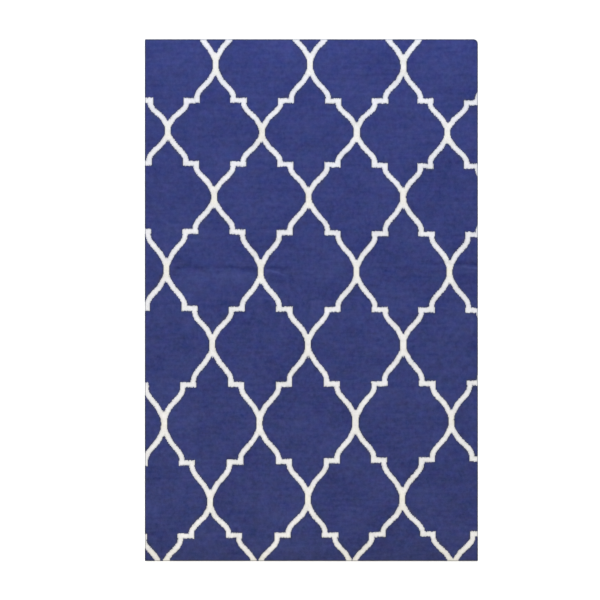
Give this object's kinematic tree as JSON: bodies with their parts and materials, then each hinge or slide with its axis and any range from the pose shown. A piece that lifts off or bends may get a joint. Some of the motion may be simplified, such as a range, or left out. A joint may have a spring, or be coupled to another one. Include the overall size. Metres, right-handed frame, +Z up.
{
  "type": "kilim rug",
  "caption": "Flat-woven wool floor rug without pile, rectangular, with an ivory ogee trellis on a navy ground. It lies flat to cover and soften a floor.",
  "frame": {"origin": "middle of the underside, on the floor", "axes": "+Y along the warp, the rug's length; +X across its width; +Z up, out of the face that shows"},
  "size_m": [1.524, 2.388, 0.004],
  "materials": {
    "navy_wool": "matt weft-faced flat weave with fine ribs",
    "ivory_wool": "matt weft-faced flat weave with fine ribs"
  },
  "bodies": {
    "root": {"rug": "navy_wool"}
  },
  "joints": []
}
